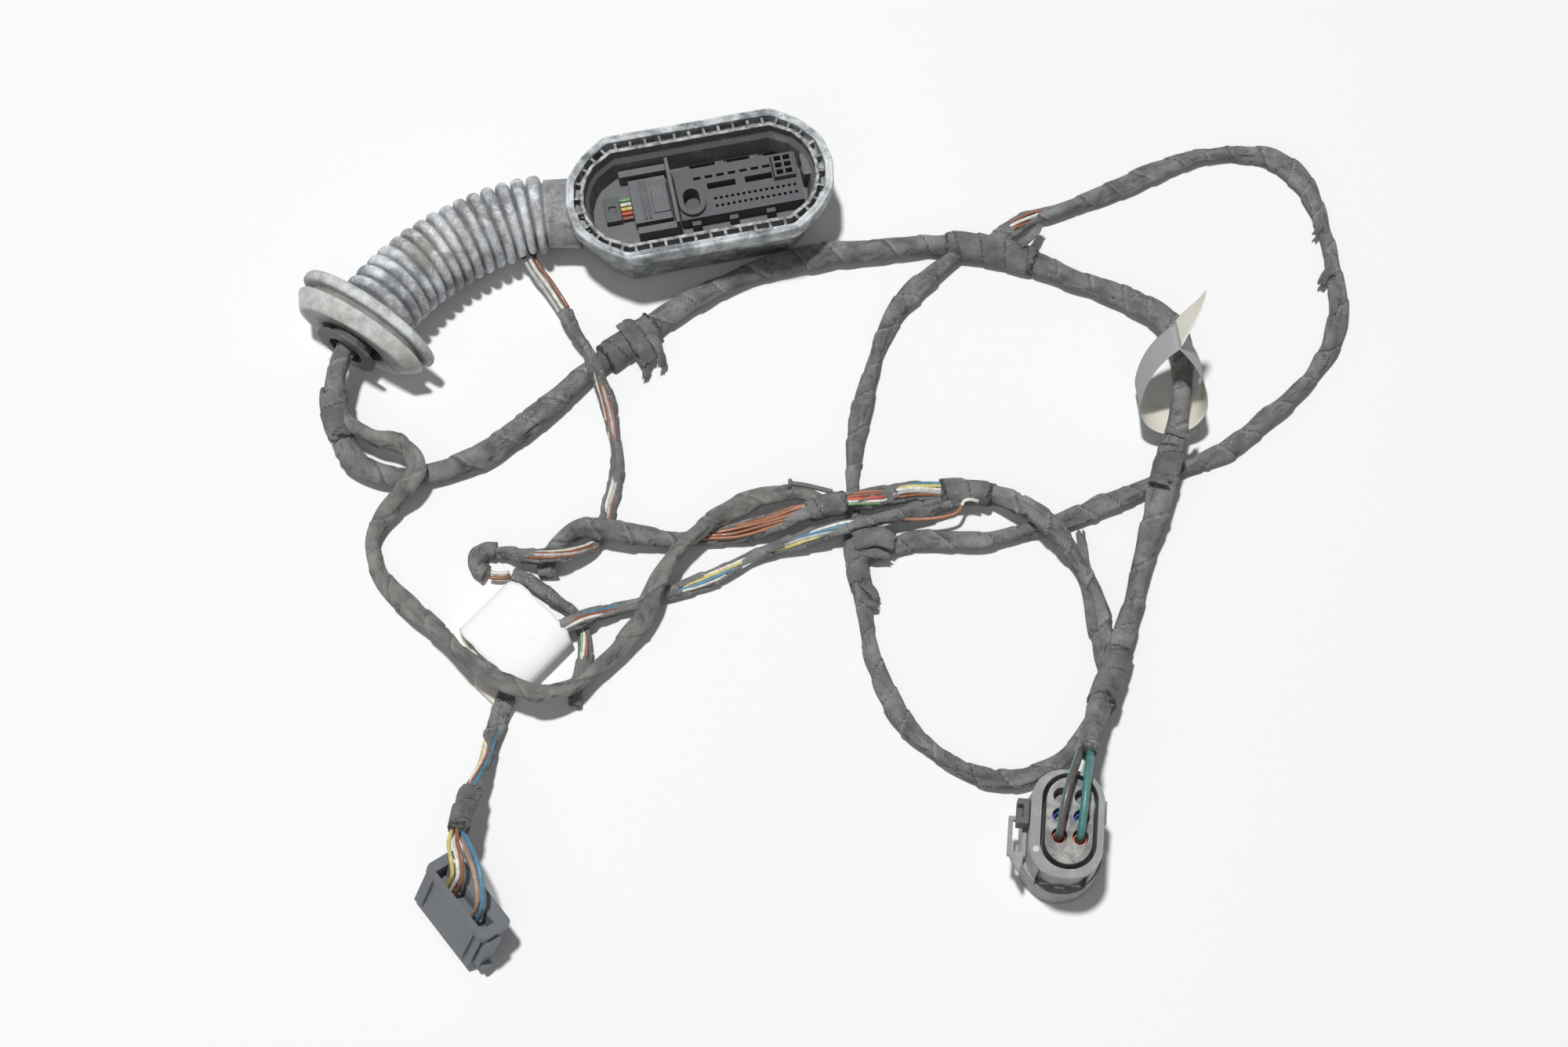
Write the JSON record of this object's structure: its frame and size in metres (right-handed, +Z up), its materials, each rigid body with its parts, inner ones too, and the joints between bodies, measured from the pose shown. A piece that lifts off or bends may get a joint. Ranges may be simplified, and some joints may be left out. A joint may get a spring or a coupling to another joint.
{
  "type": "door wiring harness",
  "caption": "Vehicle door wiring harness: moulded rubber boot with a station connector, taped branches, two end connectors and paper labels.",
  "frame": {"origin": "on the table plane, below the middle of the box round the boot and the two end connectors", "axes": "+Z up from the table; +X towards the sealed connector and the rear loop; +Y towards the boot"},
  "size_m": [0.47, 0.3856, 0.0667],
  "materials": {
    "boot_rubber": "dusty matt",
    "black_plastic": "satin",
    "grey_plastic": "satin",
    "seal_plastic": "dusty satin",
    "cloth_tape": "woven matt",
    "smooth_sheath": "smooth matt",
    "paper": "matt",
    "brown_wire": "satin",
    "red_wire": "satin",
    "yellow_wire": "satin",
    "white_wire": "satin",
    "green_wire": "satin",
    "pale_wire": "satin",
    "blue_wire": "satin",
    "dark_wire": "satin",
    "teal_wire": "satin",
    "blue_seal": "satin",
    "red_seal": "satin"
  },
  "bodies": {
    "root": {"rubber_boot": "boot_rubber", "grommet_ring": "black_plastic", "station_housing": "black_plastic", "six_way_insert": "black_plastic", "locking_slide": "black_plastic", "wire_lock_block": "black_plastic", "seal_insert": "black_plastic", "seal_latch": "black_plastic", "plug_housing": "black_plastic", "plug_lock": "black_plastic", "connector_carrier": "grey_plastic", "secondary_housing": "grey_plastic", "seal_housing": "seal_plastic", "seal_lever": "seal_plastic", "boot_bundle": "cloth_tape", "trunk": "cloth_tape", "middle_lead": "cloth_tape", "plug_lead": "cloth_tape", "boot_lead": "cloth_tape", "tail_lead": "cloth_tape", "cross_lead": "cloth_tape", "rear_lead": "cloth_tape", "exit_wrap": "cloth_tape", "bulge_wrap": "cloth_tape", "upper_wrap": "cloth_tape", "fray_wrap": "cloth_tape", "merge_wrap": "cloth_tape", "join_wrap": "cloth_tape", "centre_wrap": "cloth_tape", "tee_wrap": "cloth_tape", "plug_wrap": "cloth_tape", "tape_fold": "cloth_tape", "smooth_lead": "smooth_sheath", "pocket_label": "paper", "flag_label": "paper", "station_wire_1": "brown_wire", "lead_wire_1": "brown_wire", "plug_wire_3": "brown_wire", "station_wire_2": "red_wire", "station_wire_3": "yellow_wire", "plug_wire_1": "yellow_wire", "fold_wire_1": "yellow_wire", "station_wire_4": "white_wire", "lead_wire_2": "white_wire", "plug_wire_2": "white_wire", "station_wire_5": "green_wire", "lead_wire_3": "green_wire", "plug_wire_4": "pale_wire", "plug_wire_5": "blue_wire", "fold_wire_2": "blue_wire", "power_wire_1": "dark_wire", "power_wire_2": "teal_wire", "wire_seal_blue_left": "blue_seal", "wire_seal_blue_right": "blue_seal", "wire_seal_red_left": "red_seal", "wire_seal_red_right": "red_seal"}
  },
  "joints": []
}
